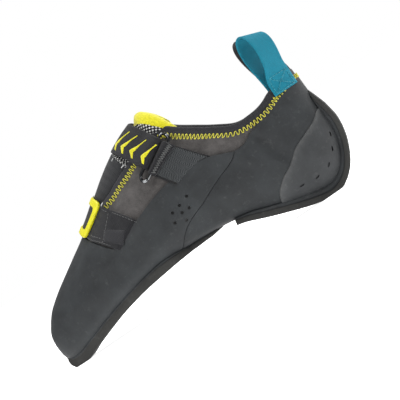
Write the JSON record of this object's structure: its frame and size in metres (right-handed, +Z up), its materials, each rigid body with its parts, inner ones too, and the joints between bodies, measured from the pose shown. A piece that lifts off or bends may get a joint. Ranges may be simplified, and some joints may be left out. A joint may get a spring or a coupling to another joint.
{
  "type": "climbing shoe",
  "caption": "Left rock climbing shoe with a downturned toe, rubber rands, a split sole, opposed hook-and-loop straps and heel pull loops.",
  "frame": {"origin": "middle of the flat spot under the heel, on the plane the shoe stands on", "axes": "+X from the toe to the heel, -Y to the outer side of the foot, +Z up"},
  "size_m": [0.2507, 0.0857, 0.1222],
  "materials": {
    "microsuede": "napped microfibre",
    "rand_rubber": "matt, smooth",
    "sole_rubber": "matt, cut edge",
    "insole_board": "pressed fibre board",
    "tongue_mesh": "padded knit, yellow lining",
    "binding_tape": "woven tape",
    "elastic": "ribbed elastic",
    "webbing": "woven webbing",
    "coated_wire": "black coated steel wire",
    "moulded_tab": "moulded, satin",
    "loop_tape": "woven tape"
  },
  "bodies": {
    "root": {"upper": "microsuede", "front_rand": "rand_rubber", "heel_sling": "rand_rubber", "heel_cup": "rand_rubber", "front_outsole": "sole_rubber", "heel_outsole": "sole_rubber", "insole": "insole_board", "tongue": "tongue_mesh", "collar_binding": "binding_tape", "throat_gusset": "elastic", "instep_strap": "webbing", "instep_webbing": "webbing", "instep_ring": "coated_wire", "instep_tab": "moulded_tab", "toe_strap": "webbing", "toe_webbing": "webbing", "toe_ring": "coated_wire", "toe_tab": "moulded_tab", "pull_loop_outer": "loop_tape", "pull_loop_inner": "webbing"}
  },
  "joints": []
}
